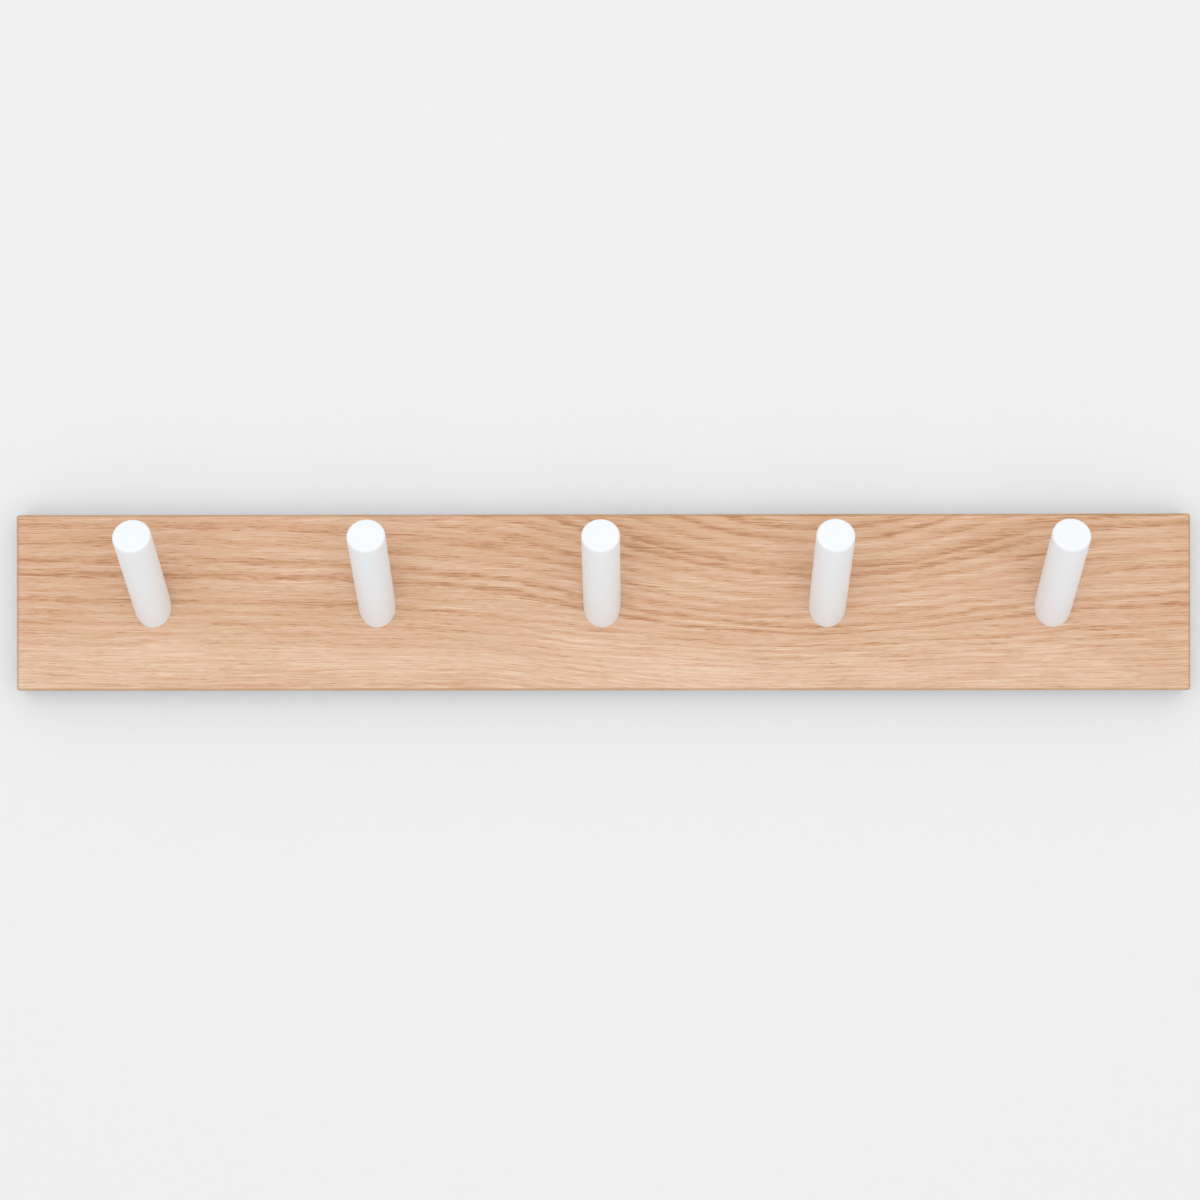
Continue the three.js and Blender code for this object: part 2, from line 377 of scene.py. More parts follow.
def woodColour(tree, height, fibre, band, deepPore, finePore):
    # fibres, pale flecks, slow clouds of tone and a drift between rosy and straw
    looks = []
    for pattern in ("streaks", "flecks", "clouds", "blushes"):
        size, seed = oak[pattern]
        spread = addNode(tree, "ShaderNodeMapping", {0: fibre, "Location": (seed, seed, seed),
                                                     "Scale": tuple(1 / s for s in size)})
        looks.append(addNode(tree, "ShaderNodeTexNoise", {"Vector": spread, "Scale": 1.0, "Detail": 2.0}))
    streak, fleck, cloud, blush = looks
    start, end = oak["fleckFrom"]
    fleck = addNode(tree, "ShaderNodeMapRange", {0: fleck, 1: start, 2: end}, interpolation_type="SMOOTHSTEP")

    low, high = oak["paleBelow"]
    tone = addNode(tree, "ShaderNodeMapRange", {0: height, 1: low, 2: high, 3: oak["paleTone"],
                                                4: oak["plainTone"]}, interpolation_type="SMOOTHSTEP")
    shares = ((band, "bandTone", 0.0), (deepPore, "deepPoreTone", 0.0), (finePore, "finePoreTone", 0.0),
              (fleck, "fleckTone", 0.0), (streak, "streakTone", 0.5), (cloud, "cloudTone", 0.5))
    for share, amount, middle in shares:
        centred = addNode(tree, "ShaderNodeMath", {0: share, 1: middle}, operation="SUBTRACT")
        tone = addNode(tree, "ShaderNodeMath", {0: centred, 1: oak[amount], 2: tone},
                       operation="MULTIPLY_ADD")

    colours = addNode(tree, "ShaderNodeValToRGB", {0: tone})
    stops = colours.color_ramp.elements
    stops[0].position, stops[0].color = 0.0, srgb(oak["light"])
    stops[1].position, stops[1].color = 1.0, srgb(oak["pore"])
    for shade in ("mid", "dark"):
        stops.new(oak[shade + "Tone"]).color = srgb(oak[shade])
    start, end = oak["strawFrom"]
    hue = addNode(tree, "ShaderNodeMapRange", {0: blush, 1: start, 2: end})
    hue = addNode(tree, "ShaderNodeMix", {0: hue, 6: srgb(oak["rosy"]), 7: srgb(oak["straw"])},
                  data_type="RGBA")
    return addNode(tree, "ShaderNodeMix", {0: oak["hueShare"], 6: colours, 7: hue.outputs[2]},
                   data_type="RGBA")


def oiledEdgesAndShade(tree, place, colour):
    # a thin golden-brown line round both faces, painted shade where the rounded arrises turn from the light
    # and partly darker oil, and a light oil tint on the end grain
    edges = []
    for axis, low, high in zip(addNode(tree, "ShaderNodeSeparateXYZ", {0: place}).outputs, *cadBoard):
        reach = (high - low) / 2 / mm
        centred = addNode(tree, "ShaderNodeMath", {0: axis, 1: (low + high) / 2 / mm}, operation="SUBTRACT")
        out = addNode(tree, "ShaderNodeMath", {0: centred}, operation="ABSOLUTE")
        edges.append(addNode(tree, "ShaderNodeMapRange", {0: out, 1: reach - oak["arrisStart"],
                                                          2: reach - oak["arrisFull"]},
                             interpolation_type="SMOOTHSTEP"))
    endFace, faceDepth, longFace = edges
    # the arris line: painted shade, partly darker oil, strongest at the outline of both faces
    edge = addNode(tree, "ShaderNodeMath", {0: endFace, 1: longFace}, operation="MAXIMUM")
    edge = addNode(tree, "ShaderNodeMath", {0: edge, 1: faceDepth}, operation="MINIMUM")
    edge = addNode(tree, "ShaderNodeMath", {0: edge, 1: oak["arrisShadeShare"]}, operation="MULTIPLY")
    endGrain = addNode(tree, "ShaderNodeMath", {0: endFace, 1: oak["endGrainShare"]}, operation="MULTIPLY")
    edge = addNode(tree, "ShaderNodeMath", {0: edge, 1: endGrain}, operation="MAXIMUM")
    return addNode(tree, "ShaderNodeMix", {0: edge, 6: colour.outputs[2], 7: srgb(oak["oilAndShade"])},
                   data_type="RGBA")


def oakMaterial():
    # plain-sawn European oak, planed, sanded and oiled: growth rings bow down across the face,
    # open pores show as short dark dashes along the grain, and the sheen is low
    material, tree = newMaterial("oiled_oak")
    where = addNode(tree, "ShaderNodeTexCoord")
    place = addNode(tree, "ShaderNodeVectorMath", {0: where.outputs["Object"], 3: 1 / mm}, operation="SCALE")
    height, across, fibre = bowedRings(tree, place)
    band = darkBands(tree, across)
    deepPore, finePore = openPores(tree, fibre, band)
    colour = woodColour(tree, height, fibre, band, deepPore, finePore)
    colour = oiledEdgesAndShade(tree, place, colour)
    raised = addNode(tree, "ShaderNodeMath", {0: deepPore, 1: -1.0, 2: finePore}, operation="MULTIPLY_ADD")
    bump = addNode(tree, "ShaderNodeBump", {"Height": raised, "Strength": oak["relief"],
                                            "Distance": oak["poreDepth"]})
    rough = addNode(tree, "ShaderNodeMath", {0: deepPore, 1: oak["poreRoughness"], 2: oak["roughness"]},
                    operation="MULTIPLY_ADD")
    shader = addNode(tree, "ShaderNodeBsdfPrincipled",
                     {"Base Color": colour.outputs[2], "Roughness": rough, "IOR": 1.45, "Normal": bump})
    addNode(tree, "ShaderNodeOutputMaterial", {"Surface": shader})
    return material


lacquer = {
    "colour": "#f1f2f4", "cloud": "#eeeff0", "mottle": 11.1 * mm,
    "smoothest": 0.38, "roughest": 0.47,
    "peel": 1.1 * mm, "peelHeight": 0.012 * mm, "relief": 0.3,
}


def lacquerMaterial():
    # satin white lacquer sprayed on turned hardwood: even, faintly dimpled, softly shiny
    material, tree = newMaterial("satin_white_lacquer")
    where = addNode(tree, "ShaderNodeTexCoord")
    place = where.outputs["Object"]
    dimples = addNode(tree, "ShaderNodeTexNoise", {"Vector": place, "Scale": 1 / lacquer["peel"],
                                                   "Detail": 2.0})
    bump = addNode(tree, "ShaderNodeBump", {"Height": dimples, "Strength": lacquer["relief"],
                                            "Distance": lacquer["peelHeight"]})
    cloud = addNode(tree, "ShaderNodeTexNoise", {"Vector": place, "Scale": 1 / lacquer["mottle"],
                                                 "Detail": 2.0})
    rough = addNode(tree, "ShaderNodeMapRange", {0: cloud, 1: 0.3, 2: 0.7, 3: lacquer["smoothest"],
                                                 4: lacquer["roughest"]})
    tint = addNode(tree, "ShaderNodeMix", {0: cloud, 6: srgb(lacquer["colour"]), 7: srgb(lacquer["cloud"])},
                   data_type="RGBA")
    shader = addNode(tree, "ShaderNodeBsdfPrincipled",
                     {"Base Color": tint.outputs[2], "Roughness": rough, "IOR": 1.5, "Normal": bump})
    addNode(tree, "ShaderNodeOutputMaterial", {"Surface": shader})
    return material


zinc = {
    "bright": "#cdd1d5", "dull": "#b1b6bb", "spangle": 0.8 * mm,
    "smoothest": 0.28, "roughest": 0.42,
    "rolling": 0.25 * mm, "rollingLength": 25 * mm, "rollingDepth": 0.02 * mm, "relief": 0.25,
}


def zincMaterial():
    # zinc-plated steel: bluish silver, a soft sheen, faintly clouded, with fine marks from rolling,
    # which are drawn coarser than real ones, so that they show
    material, tree = newMaterial("zinc_plated_steel")
    where = addNode(tree, "ShaderNodeTexCoord")
    place = where.outputs["Object"]
    cloud = addNode(tree, "ShaderNodeTexNoise", {"Vector": place, "Scale": 1 / zinc["spangle"],
                                                 "Detail": 3.0})
    markSize = (zinc["rolling"], zinc["rolling"], zinc["rollingLength"])
    drawn = addNode(tree, "ShaderNodeMapping", {0: place, "Scale": tuple(1 / s for s in markSize)})
    marks = addNode(tree, "ShaderNodeTexNoise", {"Vector": drawn, "Scale": 1.0, "Detail": 2.0})
    tint = addNode(tree, "ShaderNodeMix", {0: cloud, 6: srgb(zinc["bright"]), 7: srgb(zinc["dull"])},
                   data_type="RGBA")
    rough = addNode(tree, "ShaderNodeMapRange", {0: marks, 1: 0.3, 2: 0.7, 3: zinc["smoothest"],
                                                 4: zinc["roughest"]})
    bump = addNode(tree, "ShaderNodeBump", {"Height": marks, "Strength": zinc["relief"],
                                            "Distance": zinc["rollingDepth"]})
    shader = addNode(tree, "ShaderNodeBsdfPrincipled",
                     {"Base Color": tint.outputs[2], "Metallic": 1.0, "Roughness": rough, "Normal": bump})
    addNode(tree, "ShaderNodeOutputMaterial", {"Surface": shader})
    return material


def newTree(name, inputs):
    # a Geometry Nodes tree with named inputs, and the modifier values that go with them
    tree = bpy.data.node_groups.new(name, "GeometryNodeTree")
    tree.interface.new_socket("Geometry", in_out="OUTPUT", socket_type="NodeSocketGeometry")
    tree.interface.new_socket("Geometry", in_out="INPUT", socket_type="NodeSocketGeometry")
    values = {}
    for label, value in inputs.items():
        kind = "NodeSocketInt" if isinstance(value, int) else "NodeSocketFloat"
        if isinstance(value, tuple):
            kind = "NodeSocketVector"
        socket = tree.interface.new_socket(label, in_out="INPUT", socket_type=kind)
        values[socket.identifier] = value
    sizes = addNode(tree, "NodeGroupInput")
    return tree, {label: sizes.outputs[label] for label in inputs}, values


def finishTree(tree, shape, material):
    real = addNode(tree, "GeometryNodeRealizeInstances", {"Geometry": shape})
    dressed = addNode(tree, "GeometryNodeSetMaterial", {"Geometry": real, "Material": material})
    addNode(tree, "NodeGroupOutput", {"Geometry": dressed})


def grow(name, tree, values):
    # a piece from its tree alone
    made = linkObject(name, bpy.data.meshes.new(name))
    modifier = made.modifiers.new(tree.name, "NODES")
    modifier.node_group = tree
    for identifier, value in values.items():
        modifier[identifier] = value
    plainMesh(made)
    return made


turning = {
    "axisRadius": 0.001 * mm,  # the circle that an outline is swept round, near enough a point
    "cornerSteps": 8,
    "weld": 0.01 * mm,
}


def addTurned(tree, outline, segments, rounding=None):
    # turns an outline of (radius, height) points, from its top end round the outside, about local Z;
    # rounding gives some points a rounded corner of that radius
    count = len(outline)
    spots = addNode(tree, "GeometryNodeIndexSwitch", data_type="VECTOR")
    radii = addNode(tree, "GeometryNodeIndexSwitch", data_type="FLOAT")
    for switch in (spots, radii):
        while len(switch.index_switch_items) < count:
            switch.index_switch_items.new()
    index = addNode(tree, "GeometryNodeInputIndex")
    tree.links.new(index.outputs[0], spots.inputs["Index"])
    tree.links.new(index.outputs[0], radii.inputs["Index"])
    for place, (radius, height) in enumerate(outline):
        down = addNode(tree, "ShaderNodeMath", {0: height, 1: -1.0}, operation="MULTIPLY")
        spot = addNode(tree, "ShaderNodeCombineXYZ", {"X": radius, "Y": down})
        tree.links.new(spot.outputs[0], spots.inputs[place + 1])
        if rounding and place in rounding:
            tree.links.new(rounding[place], radii.inputs[place + 1])
    points = addNode(tree, "GeometryNodePoints", {"Count": count, "Position": spots})
    line = addNode(tree, "GeometryNodePointsToCurves", {"Points": points})
    if rounding:
        line = addNode(tree, "GeometryNodeFilletCurve", {"Curve": line, "Count": turning["cornerSteps"],
                                                         "Radius": radii}, mode="POLY")
    ring = addNode(tree, "GeometryNodeCurvePrimitiveCircle", {"Resolution": segments,
                                                              "Radius": turning["axisRadius"]})
    skin = addNode(tree, "GeometryNodeCurveToMesh", {"Curve": ring, "Profile Curve": line})
    return addNode(tree, "GeometryNodeMergeByDistance", {"Geometry": skin, "Distance": turning["weld"]})


peg = {
    "lean": math.radians(30),  # above the board's normal
    "rowDrop": 1.8 * mm,  # the axes leave the front face this far below mid height
    "projection": 70 * mm,
    "endRadius": 1.6 * mm,
    "endEase": 1.15,  # rings this many end radii in keep its shading off the flat face and the long side
    "footRadius": 0.8 * mm,
    "foot": -11.8 * mm,  # along the axis, from the front face
    "boreRadius": 2.3 * mm,
    "boreEnd": 17.4 * mm,
    "glueLine": 0.05 * mm,
    "segments": 96,
}
pegNodes = [f"peg_{i + 1}" for i in range(5)]
pegBoxes = [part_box(node) for node in pegNodes]
pegPlaces = [(low.x + high.x) / 2 for low, high in pegBoxes]
pegRadius = (pegBoxes[0][1].x - pegBoxes[0][0].x) / 2
rowStart = Vector((pegPlaces[0], cadBoard[0].y, -peg["rowDrop"]))
rowStep = (pegPlaces[-1] - pegPlaces[0]) / (len(pegPlaces) - 1)


def whitePegs(material):
    tree, size, values = newTree("pegRow", {
        "Radius": pegRadius, "Top": peg["projection"], "End Radius": peg["endRadius"], "Foot": peg["foot"],
        "Foot Radius": peg["footRadius"], "Bore Radius": peg["boreRadius"], "Bore End": peg["boreEnd"],
        "Lean": peg["lean"], "Count": len(pegPlaces), "Start": tuple(rowStart), "Step": rowStep,
    })
    faceEdge, sideEdge = (addNode(tree, "ShaderNodeMath", {0: size["End Radius"], 1: -peg["endEase"],
                                                           2: size[outer]}, operation="MULTIPLY_ADD")
                          for outer in ("Radius", "Top"))
    outline = [(0.0, size["Top"]), (faceEdge, size["Top"]), (size["Radius"], size["Top"]),
               (size["Radius"], sideEdge), (size["Radius"], size["Foot"]),
               (size["Bore Radius"], size["Foot"]), (size["Bore Radius"], size["Bore End"]),
               (0.0, size["Bore End"])]
    solid = addTurned(tree, outline, peg["segments"], {2: size["End Radius"], 4: size["Foot Radius"]})
    step = addNode(tree, "ShaderNodeCombineXYZ", {"X": size["Step"]})
    row = addNode(tree, "GeometryNodeMeshLine", {"Count": size["Count"], "Start Location": size["Start"],
                                                 "Offset": step})
    tilt = addNode(tree, "ShaderNodeMath", {0: math.pi / 2, 1: size["Lean"]}, operation="SUBTRACT")
    turn = addNode(tree, "ShaderNodeCombineXYZ", {"X": tilt})
    pegs = addNode(tree, "GeometryNodeInstanceOnPoints", {"Points": row, "Instance": solid, "Rotation": turn})
    finishTree(tree, pegs, material)
    made = grow("white_pegs", tree, values)
    shadeByAngle(made)
    standFor(made, pegNodes)


pegScrew = {
    "head": 4 * mm, "rim": 0.4 * mm, "shank": 2 * mm, "length": 35 * mm, "point": 5 * mm,
    "pitch": 1.8 * mm, "plain": 7 * mm, "sink": -17.9 * mm,
}
plateScrew = {
    "head": 2.9 * mm, "rim": 0.2 * mm, "shank": 1.5 * mm, "length": 12 * mm, "point": 3 * mm,
    "pitch": 1.2 * mm, "plain": 2 * mm, "sink": 0.6 * mm,
}
thread = {
    "core": 0.66,  # share of the shank's radius left at the root of the thread
    "neck": 0.88,  # the plain part under the head
    "blade": 0.3,  # half width of the ridge, as a share of the pitch
    "columns": 28,
    "rowsPerPitch": 9,
    "recessSpan": 0.58, "recessDepth": 0.45,  # shares of the head's radius
    "recessWidth": 0.8 * mm,
    "recessTaper": (0.45, 0.8, 1.0),  # what is left of its length and width at its floor
    "weld": 0.002 * mm,
    "sharpFrom": 40,  # degrees
}


def woodScrews(name, kind, grid, start, lean, material, nodes):
    # countersunk cross-recess wood screws; grid is (columns, gap, rows, gap) over the places they go in
    acrossCount, acrossGap, upCount, upGap = grid
    rows = round(kind["length"] / kind["pitch"] * thread["rowsPerPitch"])
    tree, size, values = newTree(name + "_tree", {
        "Head": kind["head"], "Rim": kind["rim"], "Shank": kind["shank"], "Length": kind["length"],
        "Point": kind["point"], "Pitch": kind["pitch"], "Plain": kind["plain"], "Start": tuple(start),
        "Along": kind["sink"], "Lean": lean, "Across Count": acrossCount, "Across Gap": acrossGap,
        "Up Count": upCount, "Up Gap": upGap, "Rows": rows,
    })
    screw = addScrew(tree, size)
    gaps = [addNode(tree, "ShaderNodeMath", {0: size[way + " Count"], 1: 1.0}, operation="SUBTRACT")
            for way in ("Across", "Up")]
    spans = [addNode(tree, "ShaderNodeMath", {0: gap, 1: size[way + " Gap"]}, operation="MULTIPLY")
             for gap, way in zip(gaps, ("Across", "Up"))]
    places = addNode(tree, "GeometryNodeMeshGrid", {"Size X": spans[0], "Size Y": spans[1],
                                                    "Vertices X": size["Across Count"],
                                                    "Vertices Y": size["Up Count"]})
    places = addNode(tree, "GeometryNodeTransform", {"Geometry": places, "Translation": size["Start"],
                                                     "Rotation": (math.pi / 2, 0, 0)})
    tilt = addNode(tree, "ShaderNodeMath", {0: math.pi / 2, 1: size["Lean"]}, operation="SUBTRACT")
    turn = addNode(tree, "ShaderNodeCombineXYZ", {"X": tilt})
    screws = addNode(tree, "GeometryNodeInstanceOnPoints", {"Points": places, "Instance": screw,
                                                            "Rotation": turn})
    finishTree(tree, screws, material)
    made = grow(name, tree, values)
    shadeByAngle(made, thread["sharpFrom"])
    standFor(made, nodes)


def addScrew(tree, size):
    # one screw about local Z, head down: a sheet wrapped round the axis, whose radius follows its depth
    lines = addNode(tree, "ShaderNodeMath", {0: size["Rows"], 1: 1.0}, operation="ADD")
    sheet = addNode(tree, "GeometryNodeMeshGrid", {"Size X": 1.0, "Size Y": 1.0, "Vertices Y": lines,
                                                   "Vertices X": thread["columns"] + 1})
    spot = addNode(tree, "ShaderNodeSeparateXYZ", {0: addNode(tree, "GeometryNodeInputPosition")})
    turnShare = addNode(tree, "ShaderNodeMath", {0: spot.outputs["X"], 1: 0.5}, operation="ADD")
    rowShare = addNode(tree, "ShaderNodeMath", {0: spot.outputs["Y"], 1: 0.5}, operation="ADD")
    row = addNode(tree, "ShaderNodeMath", {0: rowShare, 1: size["Rows"]}, operation="MULTIPLY")

    # the first row is the middle of the head's face, and the rest run down to the point
    firstRow = addNode(tree, "ShaderNodeMath", {0: row, 1: 1.0}, operation="MINIMUM")
    rowBelow = addNode(tree, "ShaderNodeMath", {0: row, 1: firstRow}, operation="SUBTRACT")
    lastRow = addNode(tree, "ShaderNodeMath", {0: size["Rows"], 1: 1.0}, operation="SUBTRACT")
    down = addNode(tree, "ShaderNodeMath", {0: rowBelow, 1: lastRow}, operation="DIVIDE")
    depth = addNode(tree, "ShaderNodeMath", {0: down, 1: size["Length"]}, operation="MULTIPLY")

    # thread: a blade that winds round the core and fades in below the plain neck
    fade = addNode(tree, "ShaderNodeMath", {0: depth, 1: size["Plain"]}, operation="SUBTRACT")
    fade = addNode(tree, "ShaderNodeMath", {0: fade, 1: size["Pitch"]}, operation="DIVIDE", use_clamp=True)
    wound = addNode(tree, "ShaderNodeMath", {0: depth, 1: size["Pitch"]}, operation="DIVIDE")
    wound = addNode(tree, "ShaderNodeMath", {0: wound, 1: turnShare}, operation="SUBTRACT")
    wound = addNode(tree, "ShaderNodeMath", {0: wound}, operation="FRACT")
    offCrest = addNode(tree, "ShaderNodeMath", {0: wound, 1: 0.5}, operation="SUBTRACT")
    offCrest = addNode(tree, "ShaderNodeMath", {0: offCrest}, operation="ABSOLUTE")
    ridge = addNode(tree, "ShaderNodeMath", {0: offCrest, 1: -1 / thread["blade"], 2: 1.0},
                    operation="MULTIPLY_ADD", use_clamp=True)
    ridge = addNode(tree, "ShaderNodeMath", {0: ridge, 1: fade}, operation="MULTIPLY")
    core = addNode(tree, "ShaderNodeMapRange", {0: fade, 3: thread["neck"], 4: thread["core"]})
    share = addNode(tree, "ShaderNodeMapRange", {0: ridge, 3: core, 4: 1.0})
    left = addNode(tree, "ShaderNodeMath", {0: size["Length"], 1: depth}, operation="SUBTRACT")
    taper = addNode(tree, "ShaderNodeMath", {0: left, 1: size["Point"]}, operation="DIVIDE", use_clamp=True)
    body = addNode(tree, "ShaderNodeMath", {0: share, 1: size["Shank"]}, operation="MULTIPLY")
    body = addNode(tree, "ShaderNodeMath", {0: body, 1: taper}, operation="MULTIPLY")

    # countersunk head: a short rim, then a 45 degree cone down to the shank
    cone = addNode(tree, "ShaderNodeMath", {0: size["Head"], 1: size["Rim"]}, operation="ADD")
    cone = addNode(tree, "ShaderNodeMath", {0: cone, 1: depth}, operation="SUBTRACT")
    cone = addNode(tree, "ShaderNodeMath", {0: cone, 1: size["Head"]}, operation="MINIMUM")
    radius = addNode(tree, "ShaderNodeMath", {0: cone, 1: body}, operation="MAXIMUM")
    radius = addNode(tree, "ShaderNodeMath", {0: radius, 1: firstRow}, operation="MULTIPLY")
    reach = addNode(tree, "ShaderNodeCombineXYZ", {"X": radius, "Z": depth})
    angle = addNode(tree, "ShaderNodeMath", {0: turnShare, 1: 2 * math.pi}, operation="MULTIPLY")
    wrapped = addNode(tree, "ShaderNodeVectorRotate", {"Vector": reach, "Angle": angle},
                      rotation_type="Z_AXIS")
    skin = addNode(tree, "GeometryNodeSetPosition", {"Geometry": sheet, "Position": wrapped})
    skin = addNode(tree, "GeometryNodeMergeByDistance", {"Geometry": skin, "Distance": thread["weld"]})

    # cross recess: two bars that narrow as they go down
    span, deep = (addNode(tree, "ShaderNodeMath", {0: size["Head"], 1: 2 * thread[share]},
                          operation="MULTIPLY") for share in ("recessSpan", "recessDepth"))
    barSize = addNode(tree, "ShaderNodeCombineXYZ", {"X": span, "Y": thread["recessWidth"], "Z": deep})
    bar = addNode(tree, "GeometryNodeMeshCube", {"Size": barSize})
    below = addNode(tree, "GeometryNodeInputPosition")
    belowParts = addNode(tree, "ShaderNodeSeparateXYZ", {0: below})
    isBelow = addNode(tree, "ShaderNodeMath", {0: belowParts.outputs["Z"], 1: 0.0},
                      operation="GREATER_THAN")
    narrow = addNode(tree, "ShaderNodeVectorMath", {0: below, 1: thread["recessTaper"]},
                     operation="MULTIPLY")
    bar = addNode(tree, "GeometryNodeSetPosition", {"Geometry": bar, "Selection": isBelow,
                                                    "Position": narrow})
    crossed = addNode(tree, "GeometryNodeTransform", {"Geometry": bar, "Rotation": (0, 0, math.pi / 2)})
    cut = addNode(tree, "GeometryNodeMeshBoolean", {"Mesh 1": skin, "Mesh 2": [bar, crossed]},
                  operation="DIFFERENCE", solver="EXACT")
    along = addNode(tree, "ShaderNodeCombineXYZ", {"Z": size["Along"]})
    return addNode(tree, "GeometryNodeTransform", {"Geometry": cut.outputs["Mesh"], "Translation": along})


plate = {
    "length": 50 * mm, "width": 16 * mm, "thickness": 1.6 * mm,
    "sink": 0.2 * mm,  # under the board's back face
    "screwInset": 6 * mm,
    "keyholeRadius": 4.75 * mm, "slotWidth": 4.8 * mm, "slotTravel": 11 * mm, "keyholeDrop": 5 * mm,
    "edge": 0.15 * mm,  # softened by plating and tumbling
    "sharpFrom": math.radians(40),
    "clearance": 0.3 * mm, "seatGap": 0.3 * mm, "pocketWidth": 12 * mm, "pocketDepth": 8 * mm,
    "roundShare": 0.4999,  # a shade under half, so that the two turns of a round end don't meet
    "endSteps": 16, "slotSteps": 12, "holeSegments": 64, "sinkSegments": 40,
    "holePast": 1 * mm, "slotPast": 1.1 * mm, "sinkPast": 4 * mm,  # how far the cuts reach past the plate
    "weld": 0.002 * mm,
}
plateNodes = [f"keyhole_plate_{side}" for side in ("left", "right")]
plateMiddle = sum(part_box(plateNodes[1]), Vector()) / 2
screwRise = plate["length"] / 2 - plate["screwInset"]


def addPrism(tree, outline, low, high):
    # a flat outline in local XY, made solid from low to high
    face = addNode(tree, "GeometryNodeFillCurve", {"Curve": outline}, mode="NGONS")
    base = addNode(tree, "GeometryNodeTransform", {"Geometry": face, "Translation": (0, 0, low)})
    walls = addNode(tree, "GeometryNodeExtrudeMesh", {"Mesh": base, "Offset": (0, 0, 1),
                                                      "Offset Scale": high - low, "Individual": False},
                    mode="FACES")
    under = addNode(tree, "GeometryNodeFlipFaces", {"Mesh": base})
    shell = addNode(tree, "GeometryNodeJoinGeometry", {"Geometry": [walls, under]})
    return addNode(tree, "GeometryNodeMergeByDistance", {"Geometry": shell, "Distance": plate["weld"]})


def addRoundEnded(tree, width, height, steps):
    # an upright outline with half-round ends
    line = addNode(tree, "GeometryNodeCurvePrimitiveQuadrilateral", {"Width": width, "Height": height})
    radius = addNode(tree, "ShaderNodeMath", {0: width, 1: plate["roundShare"]}, operation="MULTIPLY")
    return addNode(tree, "GeometryNodeFilletCurve", {"Curve": line, "Count": steps, "Radius": radius},
                   mode="POLY")


def keyholePlates(material):
    tree, size, values = newTree("keyholePlatePair", {
        "Length": plate["length"], "Width": plate["width"], "Keyhole Radius": plate["keyholeRadius"],
        "Slot Width": plate["slotWidth"], "Slot Travel": plate["slotTravel"],
        "Keyhole Drop": plate["keyholeDrop"], "Screw Rise": screwRise, "Half Gap": plateMiddle.x,
        "Rise": plateMiddle.z, "Sink": plate["sink"],
    })
    blankLine = addRoundEnded(tree, size["Width"], size["Length"], plate["endSteps"])
    blank = addPrism(tree, blankLine, 0, plate["thickness"])

    # the keyhole: a round hole for the wall screw's head, and a slot above it for the shank
    drop = addNode(tree, "ShaderNodeMath", {0: size["Keyhole Drop"], 1: -1.0}, operation="MULTIPLY")
    holePlace = addNode(tree, "ShaderNodeCombineXYZ", {"Y": drop})
    hole = addNode(tree, "GeometryNodeCurvePrimitiveCircle", {"Resolution": plate["holeSegments"],
                                                              "Radius": size["Keyhole Radius"]})
    hole = addPrism(tree, hole, -plate["holePast"], plate["thickness"] + plate["holePast"])
    hole = addNode(tree, "GeometryNodeTransform", {"Geometry": hole, "Translation": holePlace})
    slotSpan = addNode(tree, "ShaderNodeMath", {0: size["Slot Width"], 1: size["Slot Travel"]},
                       operation="ADD")
    slot = addRoundEnded(tree, size["Slot Width"], slotSpan, plate["slotSteps"])
    slotRise = addNode(tree, "ShaderNodeMath", {0: size["Slot Travel"], 1: 0.5, 2: drop},
                       operation="MULTIPLY_ADD")
    slotPlace = addNode(tree, "ShaderNodeCombineXYZ", {"Y": slotRise})
    slot = addPrism(tree, slot, -plate["slotPast"], plate["thickness"] + plate["slotPast"])
    slot = addNode(tree, "GeometryNodeTransform", {"Geometry": slot, "Translation": slotPlace})

    # countersinks, cut from the face that the board's back shows
    wide = plateScrew["head"] + plate["clearance"]
    narrow = plateScrew["shank"] + plate["clearance"]
    rim = plateScrew["sink"] - plate["sink"] + plateScrew["rim"]
    top = rim + plate["sinkPast"]
    sink = addTurned(tree, [(0.0, top), (narrow, top), (narrow, rim + wide - narrow), (wide, rim),
                            (wide, -plate["holePast"]), (0.0, -plate["holePast"])], plate["sinkSegments"])
    sinks = []
    for side in (-1, 1):
        up = addNode(tree, "ShaderNodeMath", {0: size["Screw Rise"], 1: float(side)}, operation="MULTIPLY")
        spot = addNode(tree, "ShaderNodeCombineXYZ", {"Y": up})
        sinks.append(addNode(tree, "GeometryNodeTransform", {"Geometry": sink, "Translation": spot}))
    cut = addNode(tree, "GeometryNodeMeshBoolean", {"Mesh 1": blank, "Mesh 2": [hole, slot, *sinks]},
                  operation="DIFFERENCE", solver="EXACT")

    # local Z goes into the board, and local Y is up
    inset = addNode(tree, "ShaderNodeCombineXYZ", {"Z": size["Sink"]})
    solid = addNode(tree, "GeometryNodeTransform", {"Geometry": cut.outputs["Mesh"], "Translation": inset})
    leftPlace = addNode(tree, "ShaderNodeVectorMath", {0: (-1, 0, 0), 3: size["Half Gap"]},
                        operation="SCALE")
    start = addNode(tree, "ShaderNodeCombineXYZ", {"Z": size["Rise"]})
    start = addNode(tree, "ShaderNodeVectorMath", {0: start, 1: leftPlace}, operation="ADD")
    gap = addNode(tree, "ShaderNodeVectorMath", {0: (2, 0, 0), 3: size["Half Gap"]}, operation="SCALE")
    pair = addNode(tree, "GeometryNodeMeshLine", {"Count": 2, "Start Location": start, "Offset": gap})
    plates = addNode(tree, "GeometryNodeInstanceOnPoints", {"Points": pair, "Instance": solid,
                                                            "Rotation": (math.pi / 2, 0, 0)})
    finishTree(tree, plates, material)
    made = grow("keyhole_plates", tree, values)
    soften = made.modifiers.new("soft edges", "BEVEL")
    soften.width = plate["edge"]
    soften.segments = 2
    soften.limit_method = "ANGLE"
    soften.angle_limit = plate["sharpFrom"]
    plainMesh(made)
    shadeByAngle(made)
    standFor(made, plateNodes)


